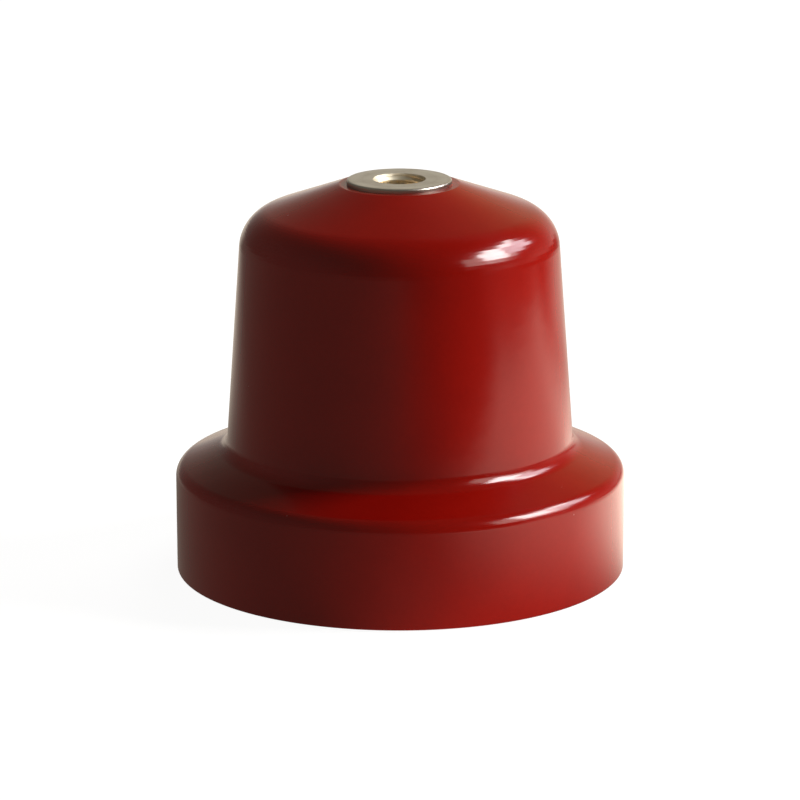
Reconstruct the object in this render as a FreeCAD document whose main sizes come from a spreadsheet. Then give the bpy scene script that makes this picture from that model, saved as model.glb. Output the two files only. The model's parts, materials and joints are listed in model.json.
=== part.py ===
"""Bell-shaped standoff insulator of cast resin, with threaded metal inserts.

A hollow bell of cast epoxy resin stands on a flat annular flange. A flanged M12
insert is cast into the crown and carries the live conductor. Four M8 inserts are
cast into the flange and take the fixing bolts from below. A flat steel ring,
swaged to the buried ends of the four base inserts, holds them at their pitch
circle and shares the pull between them.

Frame: millimetres, +Z up along the bell's axis, origin at the centre of the
flange's seating face.
"""

import FreeCAD
import Part

import math
import os

import Sketcher
from FreeCAD import Placement, Rotation, Vector

PARTS_FOLDER = "parts"
DOCUMENT_NAME = "standoff_insulator"
BASE_INSERT_COUNT = 4
EDGE_TOLERANCE = 1e-4
SMALLEST_CUT = 0.5
PLUG_CLEARANCE = 1
CUTTING_TYPES = ("PartDesign::Groove", "PartDesign::Pocket", "PartDesign::Hole", "PartDesign::PolarPattern")
Z_AXIS = Vector(0, 0, 1)

# Driving dimensions in millimetres and degrees: alias, value, meaning.
DIMENSIONS = [
    ("overall_height", 95, "seating face to the top face of the crown insert"),
    ("flange_diameter", 108, "outside of the mounting flange"),
    ("flange_edge_height", 25.2, "seating face to the theoretical top corner of the flange"),
    ("flange_corner_radius", 3.5, "round on the top corner of the flange"),
    ("seat_corner_chamfer", 0.4, "broken edge round the seating face"),
    ("root_diameter", 83.4, "theoretical corner where the bell leaves the flange"),
    ("root_height", 30.2, "height of that corner"),
    ("root_radius", 4, "fillet between flange and bell"),
    ("shoulder_diameter", 75.4, "theoretical corner between the bell and its crown"),
    ("shoulder_height", 85.5, "height of that corner"),
    ("shoulder_radius", 10, "round between the bell and its crown"),
    ("crown_land_diameter", 28.8, "flat land round the crown insert"),
    ("crown_height", 93.9, "height of that land"),
    ("crown_land_radius", 1, "round on the outer edge of that land"),
    ("cavity_mouth_diameter", 58, "hollow of the bell at the seating face"),
    ("cavity_roof_diameter", 54, "hollow of the bell at its roof, less by the mould's draft"),
    ("cavity_depth", 56, "seating face to the roof of the hollow"),
    ("cavity_roof_radius", 12, "round at the edge of the roof"),
    ("cavity_mouth_chamfer", 1, "broken edge round the mouth of the hollow"),
    ("top_head_diameter", 25, "crown insert: plain head, proud of the resin"),
    ("top_head_length", 5, "crown insert: length of that head"),
    ("top_neck_diameter", 20, "crown insert: bottom of its two locking grooves"),
    ("top_neck_width", 3.5, "crown insert: width of each locking groove"),
    ("top_barrel_diameter", 24, "crown insert: fluted and end lands"),
    ("top_barrel_length", 8, "crown insert: length of the fluted land"),
    ("top_length", 28, "crown insert: overall length"),
    ("top_end_radius", 3, "crown insert: round on the buried end"),
    ("top_flute_radius", 0.9, "crown insert: radius of each flute"),
    ("top_flutes", 20, "crown insert: number of flutes"),
    ("top_mouth_diameter", 12.6, "crown insert: countersink at the thread's mouth"),
    ("top_thread_depth", 18, "crown insert: full depth of the tapped hole"),
    ("base_head_diameter", 14, "base insert: plain head, flush with the seating face"),
    ("base_head_length", 3.5, "base insert: length of that head"),
    ("base_neck_diameter", 11, "base insert: bottom of its two locking grooves"),
    ("base_neck_width", 2.5, "base insert: width of each locking groove"),
    ("base_barrel_diameter", 13.4, "base insert: fluted and end lands"),
    ("base_barrel_length", 5.5, "base insert: length of the fluted land"),
    ("base_length", 18, "base insert: seating face to the shoulder under the ring"),
    ("base_end_radius", 0.8, "base insert: round on the shoulder"),
    ("base_flute_radius", 0.6, "base insert: radius of each flute"),
    ("base_flutes", 14, "base insert: number of flutes"),
    ("base_mouth_diameter", 8.6, "base insert: countersink at the thread's mouth"),
    ("base_thread_depth", 13.5, "base insert: full depth of the tapped hole"),
    ("spigot_diameter", 8, "base insert: spigot swaged into the ring"),
    ("pitch_diameter", 84, "pitch circle of the base inserts"),
    ("ring_width", 12, "carrier ring: radial width"),
    ("ring_thickness", 3, "carrier ring: thickness"),
    ("ring_edge_radius", 0.8, "carrier ring: round on its long edges"),
    ("ring_windows", 8, "carrier ring: number of windows for the resin"),
    ("ring_window_diameter", 6, "carrier ring: diameter of each window"),
]


def make_sheet(doc):
    """Writes the driving dimensions to the document's spreadsheet."""
    sheet = doc.addObject("Spreadsheet::Sheet", "sizes")
    for row, (alias, value, meaning) in enumerate(DIMENSIONS, start=1):
        sheet.set(f"A{row}", alias)
        sheet.set(f"B{row}", str(value))
        sheet.set(f"C{row}", meaning)
        sheet.setAlias(f"B{row}", alias)
    doc.recompute()
    return sheet


def size(doc, alias):
    """Reads one driving dimension back from the spreadsheet."""
    return float(doc.sizes.get(alias))


def origin_feature(body, role):
    """Finds a plane or axis of the body's own origin by its role."""
    return next(item for item in body.Origin.OriginFeatures if item.Role == role)


def attached_sketch(body, name, role, offset=None):
    """Adds a sketch on one of the body's origin planes, lifted by an expression if one is given."""
    sketch = body.newObject("Sketcher::SketchObject", name)
    sketch.AttachmentSupport = [(origin_feature(body, role), "")]
    sketch.MapMode = "FlatFace"
    if offset:
        sketch.setExpression("AttachmentOffset.Base.z", offset)
    return sketch


def place_point(sketch, geometry, position, across, up):
    """Fixes a sketch point at distances from the origin that follow two expressions."""
    for kind, formula in (("DistanceX", across), ("DistanceY", up)):
        value = sketch.evalExpression(formula)
        index = sketch.addConstraint(
            Sketcher.Constraint(kind, -1, 1, geometry, position, float(value))
        )
        sketch.setExpression(f"Constraints[{index}]", formula)


def outline_sketch(body, name, corners):
    """Draws a closed outline in the XZ plane; each corner is a pair of expressions."""
    sketch = attached_sketch(body, name, "XZ_Plane")
    points = [
        Vector(float(sketch.evalExpression(x)), float(sketch.evalExpression(z)), 0)
        for x, z in corners
    ]
    count = len(corners)
    for index in range(count):
        sketch.addGeometry(
            Part.LineSegment(points[index], points[(index + 1) % count]), False
        )
    for index in range(count):
        sketch.addConstraint(
            Sketcher.Constraint("Coincident", index, 2, (index + 1) % count, 1)
        )
    for index, (x, z) in enumerate(corners):
        place_point(sketch, index, 1, x, z)
    return sketch


def circle_sketch(body, name, centre_x, radii, offset=None):
    """Draws circles of the given radii about one point of the X axis, parallel to the XY plane."""
    sketch = attached_sketch(body, name, "XY_Plane", offset)
    centre = Vector(float(sketch.evalExpression(centre_x)), 0, 0)
    for radius in radii:
        value = float(sketch.evalExpression(radius))
        circle = sketch.addGeometry(Part.Circle(centre, Z_AXIS, value), False)
        index = sketch.addConstraint(Sketcher.Constraint("Radius", circle, value))
        sketch.setExpression(f"Constraints[{index}]", radius)
        place_point(sketch, circle, 3, centre_x, "0")
    return sketch


def turned(body, kind, name, sketch):
    """Adds a Revolution or a Groove of the sketch about the body's axis."""
    feature = body.newObject(f"PartDesign::{kind}", name)
    feature.Profile = sketch
    feature.ReferenceAxis = (sketch, ["V_Axis"])
    feature.Angle = 360
    return feature


def pocket(body, name, sketch, length):
    """Cuts the sketch upwards through a length that follows an expression."""
    feature = body.newObject("PartDesign::Pocket", name)
    feature.Profile = sketch
    feature.Type = "Length"
    feature.setExpression("Length", length)
    feature.Reversed = True
    return feature


def polar_pattern(body, name, original, count):
    """Repeats a feature round the body's axis as many times as an expression says."""
    pattern = body.newObject("PartDesign::PolarPattern", name)
    pattern.Originals = [original]
    pattern.Axis = (origin_feature(body, "Z_Axis"), [""])
    pattern.Angle = 360
    pattern.setExpression("Occurrences", count)
    body.Tip = pattern
    return pattern


def is_ring(edge, radius, height):
    """Says whether an edge is a circle about the Z axis with this radius and height."""
    curve = edge.Curve
    if not isinstance(curve, Part.Circle):
        return False
    off_axis = math.hypot(curve.Center.x, curve.Center.y)
    gaps = (off_axis, curve.Radius - radius, curve.Center.z - height)
    return max(abs(gap) for gap in gaps) < EDGE_TOLERANCE


def ring_edges(shape, places):
    """Names the circular edges about the Z axis that lie at the given (radius, height) places."""
    names = [
        f"Edge{index}"
        for index, edge in enumerate(shape.Edges, start=1)
        if any(is_ring(edge, radius, height) for radius, height in places)
    ]
    if len(names) != len(places):
        raise RuntimeError(f"{len(names)} edges found at {places}")
    return names


def dress_edges(body, kind, name, base, places, alias):
    """Adds a Fillet or a Chamfer on ring edges, sized by one cell of the spreadsheet."""
    feature = body.newObject(f"PartDesign::{kind}", name)
    feature.Base = (base, ring_edges(base.Shape, places))
    feature.setExpression("Radius" if kind == "Fillet" else "Size", f"sizes.{alias}")
    body.Document.recompute()
    return feature


def make_bell_blank(doc):
    """Turns the solid outside of the bell, hollows it and rounds its corners."""
    body = doc.addObject("PartDesign::Body", "bell_blank")
    outline = outline_sketch(
        body,
        "bell_outline",
        [
            ("0", "0"),
            ("sizes.flange_diameter / 2", "0"),
            ("sizes.flange_diameter / 2", "sizes.flange_edge_height"),
            ("sizes.root_diameter / 2", "sizes.root_height"),
            ("sizes.shoulder_diameter / 2", "sizes.shoulder_height"),
            ("sizes.crown_land_diameter / 2", "sizes.crown_height"),
            ("0", "sizes.crown_height"),
        ],
    )
    turned(body, "Revolution", "bell_turned", outline)
    hollow = outline_sketch(
        body,
        "cavity_outline",
        [
            ("0", "0"),
            ("sizes.cavity_mouth_diameter / 2", "0"),
            ("sizes.cavity_roof_diameter / 2", "sizes.cavity_depth"),
            ("0", "sizes.cavity_depth"),
        ],
    )
    groove = turned(body, "Groove", "cavity", hollow)
    doc.recompute()
    shoulder = (size(doc, "shoulder_diameter") / 2, size(doc, "shoulder_height"))
    root = (size(doc, "root_diameter") / 2, size(doc, "root_height"))
    corner = (size(doc, "flange_diameter") / 2, size(doc, "flange_edge_height"))
    land = (size(doc, "crown_land_diameter") / 2, size(doc, "crown_height"))
    roof = (size(doc, "cavity_roof_diameter") / 2, size(doc, "cavity_depth"))
    mouth = (size(doc, "cavity_mouth_diameter") / 2, 0)
    seat = (size(doc, "flange_diameter") / 2, 0)
    step = dress_edges(body, "Fillet", "shoulder_round", groove, [shoulder], "shoulder_radius")
    step = dress_edges(body, "Fillet", "root_fillet", step, [root], "root_radius")
    step = dress_edges(body, "Fillet", "flange_round", step, [corner], "flange_corner_radius")
    step = dress_edges(body, "Fillet", "land_round", step, [land], "crown_land_radius")
    step = dress_edges(body, "Fillet", "roof_round", step, [roof], "cavity_roof_radius")
    step = dress_edges(body, "Chamfer", "mouth_chamfer", step, [mouth], "cavity_mouth_chamfer")
    dress_edges(body, "Chamfer", "seat_chamfer", step, [seat], "seat_corner_chamfer")
    return body


def make_insert(doc, name, family, thread, spigot):
    """Builds a tapped insert: its face lies at z = 0 and its buried end points to +Z.

    The head is plain. Two locking grooves stand either side of a fluted land, so
    that the resin holds the insert against pull and against turning.
    """
    body = doc.addObject("PartDesign::Body", name)
    head = f"sizes.{family}_head_length"
    neck = f"sizes.{family}_neck_width"
    barrel = f"sizes.{family}_barrel_length"
    fluted_start = f"{head} + {neck}"
    fluted_end = f"{fluted_start} + {barrel}"
    end_start = f"{fluted_end} + {neck}"
    length = f"sizes.{family}_length"
    head_radius = f"sizes.{family}_head_diameter / 2"
    neck_radius = f"sizes.{family}_neck_diameter / 2"
    barrel_radius = f"sizes.{family}_barrel_diameter / 2"
    corners = [
        ("0", "0"),
        (head_radius, "0"),
        (head_radius, head),
        (neck_radius, head),
        (neck_radius, fluted_start),
        (barrel_radius, fluted_start),
        (barrel_radius, fluted_end),
        (neck_radius, fluted_end),
        (neck_radius, end_start),
        (barrel_radius, end_start),
        (barrel_radius, length),
    ]
    if spigot:
        top = f"{length} + sizes.ring_thickness"
        corners += [
            ("sizes.spigot_diameter / 2", length),
            ("sizes.spigot_diameter / 2", top),
            ("0", top),
        ]
    else:
        corners.append(("0", length))
    outline = outline_sketch(body, f"{name}_outline", corners)
    blank = turned(body, "Revolution", f"{name}_turned", outline)
    doc.recompute()
    end = (size(doc, f"{family}_barrel_diameter") / 2, size(doc, f"{family}_length"))
    dress_edges(body, "Fillet", f"{name}_end_round", blank, [end], f"{family}_end_radius")
    flute_radius = f"sizes.{family}_flute_radius"
    flute = circle_sketch(body, f"{name}_flute_circle", barrel_radius, [flute_radius], fluted_start)
    cut = pocket(body, f"{name}_flute", flute, barrel)
    doc.recompute()
    polar_pattern(body, f"{name}_flutes", cut, f"sizes.{family}_flutes")
    doc.recompute()
    drill = circle_sketch(body, f"{name}_drill_circle", "0", [f"sizes.{family}_mouth_diameter / 2"])
    doc.recompute()
    hole = body.newObject("PartDesign::Hole", f"{name}_tapped_hole")
    hole.Profile = drill
    hole.Reversed = True
    hole.ThreadType = "ISOMetricProfile"
    hole.ThreadSize = thread
    hole.Threaded = True
    hole.DepthType = "Dimension"
    hole.setExpression("Depth", f"sizes.{family}_thread_depth")
    hole.DrillPoint = "Angled"
    hole.HoleCutType = "Countersink"
    hole.HoleCutCustomValues = True
    hole.setExpression("HoleCutDiameter", f"sizes.{family}_mouth_diameter")
    hole.HoleCutCountersinkAngle = 90
    body.Tip = hole
    doc.recompute()
    return body


def make_carrier_ring(doc):
    """Cuts the flat ring with a seat for each base insert and windows for the resin."""
    body = doc.addObject("PartDesign::Body", "carrier_ring")
    radii = [
        "(sizes.pitch_diameter + sizes.ring_width) / 2",
        "(sizes.pitch_diameter - sizes.ring_width) / 2",
    ]
    plate = body.newObject("PartDesign::Pad", "ring_plate")
    plate.Profile = circle_sketch(body, "ring_circles", "0", radii)
    plate.setExpression("Length", "sizes.ring_thickness")
    doc.recompute()
    thickness = size(doc, "ring_thickness")
    pitch, width = size(doc, "pitch_diameter"), size(doc, "ring_width")
    edges = [((pitch + side * width) / 2, height) for side in (-1, 1) for height in (0, thickness)]
    dress_edges(body, "Fillet", "ring_edges", plate, edges, "ring_edge_radius")
    middle = "sizes.pitch_diameter / 2"
    seats = circle_sketch(body, "seat_circle", middle, ["sizes.spigot_diameter / 2"])
    seat = pocket(body, "seat", seats, "sizes.ring_thickness")
    doc.recompute()
    polar_pattern(body, "seats", seat, str(BASE_INSERT_COUNT))
    doc.recompute()
    windows = circle_sketch(body, "window_circle", middle, ["sizes.ring_window_diameter / 2"])
    windows.setExpression("AttachmentOffset.Rotation.Angle", "180 deg / sizes.ring_windows")
    window = pocket(body, "window", windows, "sizes.ring_thickness")
    doc.recompute()
    polar_pattern(body, "windows", window, "sizes.ring_windows")
    doc.recompute()
    return body


def make_plug(doc, name, family):
    """Makes a cylinder that stops up an insert's hole, so that the resin's pocket has no core."""
    plug = doc.addObject("Part::Cylinder", name)
    plug.setExpression("Radius", f"sizes.{family}_neck_diameter / 2 - {PLUG_CLEARANCE}")
    plug.setExpression("Height", f"(sizes.{family}_length + sizes.{family}_thread_depth) / 2")
    return plug


def put(items, rotation, x="0", y="0", z="0"):
    """Turns objects and puts them at a place that follows three expressions."""
    for item in items:
        item.Placement = Placement(Vector(), rotation)
        item.setExpression("Placement.Base.x", x)
        item.setExpression("Placement.Base.y", y)
        item.setExpression("Placement.Base.z", z)


def make_bell_body(doc, blank, metal, plugs):
    """Cuts the pockets of all the cast-in metal out of the bell."""
    tools = doc.addObject("Part::MultiFuse", "cast_in_metal")
    tools.Shapes = metal + plugs
    bell = doc.addObject("Part::Cut", "bell_body")
    bell.Base = blank
    bell.Tool = tools
    doc.recompute()
    return bell


def check_features(doc):
    """Stops if any object failed, or if a feature that should cut has cut nothing."""
    for item in doc.Objects:
        bad = {"Invalid", "Error"} & set(item.State)
        if bad:
            raise RuntimeError(f"{item.Name} is {bad}")
        if item.TypeId in CUTTING_TYPES:
            removed = item.BaseFeature.Shape.Volume - item.Shape.Volume
            if removed < SMALLEST_CUT:
                raise RuntimeError(f"{item.Name} removes {removed:.3f} mm3")


def check_part(part):
    """Stops if a sub-part isn't one valid solid, and prints its volume and size."""
    shape = part.Shape
    if shape.isNull() or not shape.isValid() or len(shape.Solids) != 1 or shape.Volume <= 0:
        raise RuntimeError(f"{part.Label} isn't one valid solid")
    box = shape.optimalBoundingBox()
    extent = f"{box.XLength:.2f} x {box.YLength:.2f} x {box.ZLength:.2f} mm from z = {box.ZMin:.2f}"
    print(f"{part.Label}: {shape.Volume / 1000:.3f} cm3, {extent}")


def main():
    """Builds the document, checks it and writes one STEP file per sub-part."""
    doc = FreeCAD.newDocument(DOCUMENT_NAME)
    make_sheet(doc)
    top_insert = make_insert(doc, "top_insert", "top", "M12x1.75", spigot=False)
    plugs = [make_plug(doc, "top_plug", "top")]
    upside_down = Rotation(Vector(1, 0, 0), 180)
    put([top_insert, *plugs], upside_down, z="sizes.overall_height")
    base_inserts = []
    for number in range(1, BASE_INSERT_COUNT + 1):
        insert = make_insert(doc, f"base_insert_{number}", "base", "M8x1.25", spigot=True)
        plug = make_plug(doc, f"base_plug_{number}", "base")
        angle = (number - 0.5) * 360 / BASE_INSERT_COUNT
        put(
            [insert, plug],
            Rotation(Z_AXIS, angle),
            x=f"sizes.pitch_diameter / 2 * cos({angle} deg)",
            y=f"sizes.pitch_diameter / 2 * sin({angle} deg)",
        )
        base_inserts.append(insert)
        plugs.append(plug)
    ring = make_carrier_ring(doc)
    put([ring], Rotation(Z_AXIS, 180 / BASE_INSERT_COUNT), z="sizes.base_length")
    blank = make_bell_blank(doc)
    metal = [top_insert, *base_inserts, ring]
    doc.recompute()
    bell = make_bell_body(doc, blank, metal, plugs)
    check_features(doc)
    parts = [bell, *metal]
    os.makedirs(PARTS_FOLDER, exist_ok=True)
    for part in parts:
        part.Label = part.Name
        check_part(part)
    for part in parts:
        part.Shape.exportStep(os.path.join(PARTS_FOLDER, f"{part.Label}.step"))


main()
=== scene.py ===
"""Looks of a bell-shaped standoff insulator: a red cast-resin bell with tapped metal inserts.

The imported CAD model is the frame. The bell and the five inserts are turned afresh here, as dense
lathe meshes with real threads, flutes and rounded edges; the carrier ring keeps its CAD mesh.
The scene is in metres, +Z up the bell's axis, with the seating face at z = 0. The sizes of the
turned pieces are given in millimetres.
"""

import json
import logging
import math
from collections.abc import Iterator
from dataclasses import dataclass
from enum import Enum

import bpy
from mathutils import Matrix, Vector

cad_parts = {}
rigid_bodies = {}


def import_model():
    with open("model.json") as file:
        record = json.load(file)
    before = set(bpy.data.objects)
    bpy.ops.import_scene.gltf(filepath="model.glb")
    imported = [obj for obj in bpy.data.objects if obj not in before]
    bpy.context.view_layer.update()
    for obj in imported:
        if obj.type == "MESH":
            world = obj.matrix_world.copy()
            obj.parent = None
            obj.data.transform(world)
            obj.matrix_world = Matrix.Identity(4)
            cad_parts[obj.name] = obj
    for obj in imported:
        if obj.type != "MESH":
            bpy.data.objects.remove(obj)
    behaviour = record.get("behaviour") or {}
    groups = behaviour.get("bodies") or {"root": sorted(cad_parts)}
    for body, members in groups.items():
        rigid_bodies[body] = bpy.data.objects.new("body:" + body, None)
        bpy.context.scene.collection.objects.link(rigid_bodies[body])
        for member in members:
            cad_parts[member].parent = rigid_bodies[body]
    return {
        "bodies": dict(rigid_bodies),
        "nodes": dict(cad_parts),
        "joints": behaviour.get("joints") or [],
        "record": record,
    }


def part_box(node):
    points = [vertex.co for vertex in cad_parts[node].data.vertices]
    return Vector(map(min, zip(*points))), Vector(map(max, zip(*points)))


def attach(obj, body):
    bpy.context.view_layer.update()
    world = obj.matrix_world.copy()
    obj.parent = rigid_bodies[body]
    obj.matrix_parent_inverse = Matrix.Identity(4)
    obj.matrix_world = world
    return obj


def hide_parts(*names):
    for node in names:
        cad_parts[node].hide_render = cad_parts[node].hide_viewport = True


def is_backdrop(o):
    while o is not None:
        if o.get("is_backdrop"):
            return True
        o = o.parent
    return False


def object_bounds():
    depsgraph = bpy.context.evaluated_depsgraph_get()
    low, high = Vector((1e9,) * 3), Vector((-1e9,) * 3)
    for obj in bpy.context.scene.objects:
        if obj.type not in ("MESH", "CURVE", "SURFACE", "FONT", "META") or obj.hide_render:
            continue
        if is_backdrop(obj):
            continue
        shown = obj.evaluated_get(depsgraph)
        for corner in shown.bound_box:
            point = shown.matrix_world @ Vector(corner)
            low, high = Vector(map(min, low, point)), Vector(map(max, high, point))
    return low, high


LOG = logging.getLogger("standoff_insulator")
MM = 0.001  # a millimetre in metres
SHARP_EDGE = math.radians(28)  # an edge that turns more than this stays sharp
DRILL_SLOPE = math.radians(31)  # slope of the cone that a drill leaves
WELD = 1e-6  # metres between points that become one
TINY = 1e-6  # millimetres of outline that don't count
COARSE_ARC = 15.0  # degrees between stations on the arcs of small pieces

Colour = tuple[float, float, float]
Feed = bpy.types.NodeSocket | float | int | bool | str | tuple[float, ...]
Inputs = list[tuple[str, str, Feed | None]]


def rgba(colour: Colour) -> tuple[float, float, float, float]:
    """Adds a full alpha to a colour."""
    return (*colour, 1.0)


class Surface(Enum):
    """What a stretch of a turned outline carries."""

    PLAIN = "plain"
    SKIN = "skin"
    THREAD = "thread"
    FLUTED = "fluted"


MARKED = (Surface.SKIN, Surface.THREAD, Surface.FLUTED)


# ---------------------------------------------------------------------------------------------
# Node writing
# ---------------------------------------------------------------------------------------------


class NodeWriter:
    """Writes nodes into one tree, of shaders or of geometry, and links them."""

    def __init__(self, tree: bpy.types.NodeTree) -> None:
        """Keeps the tree that the nodes go into."""
        self.tree = tree

    def add(
        self,
        kind: str,
        inputs: dict[str | int, Feed] | None = None,
        **settings: object,
    ) -> bpy.types.Node:
        """Adds a node.

        Args:
            kind: the node's type name.
            inputs: a value or a socket for each input, by name or by place.
            settings: the node's own properties.

        Returns:
            The new node.
        """
        node = self.tree.nodes.new(kind)
        for name, value in settings.items():
            setattr(node, name, value)
        for key, value in (inputs or {}).items():
            self.feed(node.inputs[key], value)
        return node

    def feed(self, socket: bpy.types.NodeSocket, value: Feed) -> None:
        """Links a socket to another, or gives it a constant.

        Args:
            socket: the input that is fed.
            value: an output to link to it, or its constant.
        """
        if isinstance(value, bpy.types.NodeSocket):
            self.tree.links.new(value, socket)
        else:
            socket.default_value = value

    def math(self, operation: str, *values: Feed) -> bpy.types.NodeSocket:
        """Adds one Math node on up to three values."""
        return self.add("ShaderNodeMath", dict(enumerate(values)), operation=operation).outputs[0]

    def vector(self, operation: str, *values: Feed) -> bpy.types.Node:
        """Adds one Vector Math node."""
        return self.add("ShaderNodeVectorMath", dict(enumerate(values)), operation=operation)

    def spread(
        self,
        value: Feed,
        low: Feed,
        high: Feed,
        to_low: Feed = 0.0,
        to_high: Feed = 1.0,
        smooth: bool = False,
    ) -> bpy.types.NodeSocket:
        """Maps a range of values onto another, and stays within it.

        Args:
            value: what is mapped.
            low: the start of its range.
            high: the end of its range.
            to_low: what the start becomes.
            to_high: what the end becomes.
            smooth: whether the change eases in and out.

        Returns:
            The mapped value.
        """
        node = self.add(
            "ShaderNodeMapRange",
            {0: value, 1: low, 2: high, 3: to_low, 4: to_high},
            interpolation_type="SMOOTHSTEP" if smooth else "LINEAR",
        )
        return node.outputs[0]

    def blend(self, factor: Feed, first: Feed, second: Feed, way: str = "MIX") -> bpy.types.NodeSocket:
        """Mixes two colours.

        Args:
            factor: the share of the second colour.
            first: the colour underneath.
            second: the colour on top.
            way: the node's blend type.

        Returns:
            The mixed colour.
        """
        node = self.add("ShaderNodeMix", data_type="RGBA", blend_type=way)
        for place, value in ((0, factor), (6, first), (7, second)):
            self.feed(node.inputs[place], value)
        return node.outputs[2]

    def noise(
        self,
        vector: Feed,
        scale: Feed,
        detail: float = 2.0,
        roughness: float = 0.5,
    ) -> bpy.types.NodeSocket:
        """Adds a noise texture.

        Args:
            vector: where it is read.
            scale: its cells to a metre.
            detail: its octaves.
            roughness: how strong the finer octaves are.

        Returns:
            Its grey value.
        """
        inputs = {"Vector": vector, "Scale": scale, "Detail": detail, "Roughness": roughness}
        return self.add("ShaderNodeTexNoise", inputs).outputs[0]


def open_group(
    name: str,
    tree_type: str,
    inputs: Inputs,
    outputs: list[tuple[str, str]],
) -> tuple[bpy.types.NodeTree, NodeWriter, bpy.types.NodeOutputs]:
    """Starts a node group with named sockets.

    Args:
        name: the group's name.
        tree_type: ShaderNodeTree or GeometryNodeTree.
        inputs: name, socket type and default of each input.
        outputs: name and socket type of each output.

    Returns:
        The tree, a writer for it and the sockets that its inputs arrive at.
    """
    tree = bpy.data.node_groups.new(name, tree_type)
    for label, kind, default in inputs:
        socket = tree.interface.new_socket(label, in_out="INPUT", socket_type=kind)
        if default is not None:
            socket.default_value = default
    for label, kind in outputs:
        tree.interface.new_socket(label, in_out="OUTPUT", socket_type=kind)
    writer = NodeWriter(tree)
    return tree, writer, writer.add("NodeGroupInput").outputs


def close_group(writer: NodeWriter, results: dict[str, bpy.types.NodeSocket]) -> None:
    """Links a group's results to its output."""
    writer.add("NodeGroupOutput", results)


def dress_solid(writer: NodeWriter, body: Feed, finish: Feed) -> bpy.types.NodeSocket:
    """Welds a solid, marks its sharp edges and gives it a material.

    Args:
        writer: the writer of a geometry tree.
        body: the solid.
        finish: its material.

    Returns:
        The welded and dressed solid.
    """
    body = writer.add("GeometryNodeMergeByDistance", {"Geometry": body, "Distance": WELD}).outputs[0]
    angle = writer.add("GeometryNodeInputMeshEdgeAngle").outputs[0]
    sharp = writer.math("GREATER_THAN", angle, SHARP_EDGE)
    shading = {"Geometry": body, "Selection": sharp, "Shade Smooth": False}
    body = writer.add("GeometryNodeSetShadeSmooth", shading, domain="EDGE").outputs[0]
    body = writer.add("GeometryNodeRealizeInstances", {"Geometry": body}).outputs[0]
    return writer.add("GeometryNodeSetMaterial", {"Geometry": body, "Material": finish}).outputs[0]


# ---------------------------------------------------------------------------------------------
# Outlines
# ---------------------------------------------------------------------------------------------


@dataclass(frozen=True)
class Corner:
    """One theoretical corner of a turned outline, and the stretch that leads to it.

    Sizes are in millimetres. round is the radius of the arc at the corner, step is the longest
    edge on the straight stretch before it, and surface says what that stretch carries.
    """

    radius: float
    height: float
    round: float = 0.0
    step: float = 1000.0
    surface: Surface = Surface.PLAIN


@dataclass(frozen=True)
class Station:
    """One ring of a turned mesh, in millimetres, with the way its surface faces."""

    radius: float
    height: float
    out: float
    up: float
    surface: Surface


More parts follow.
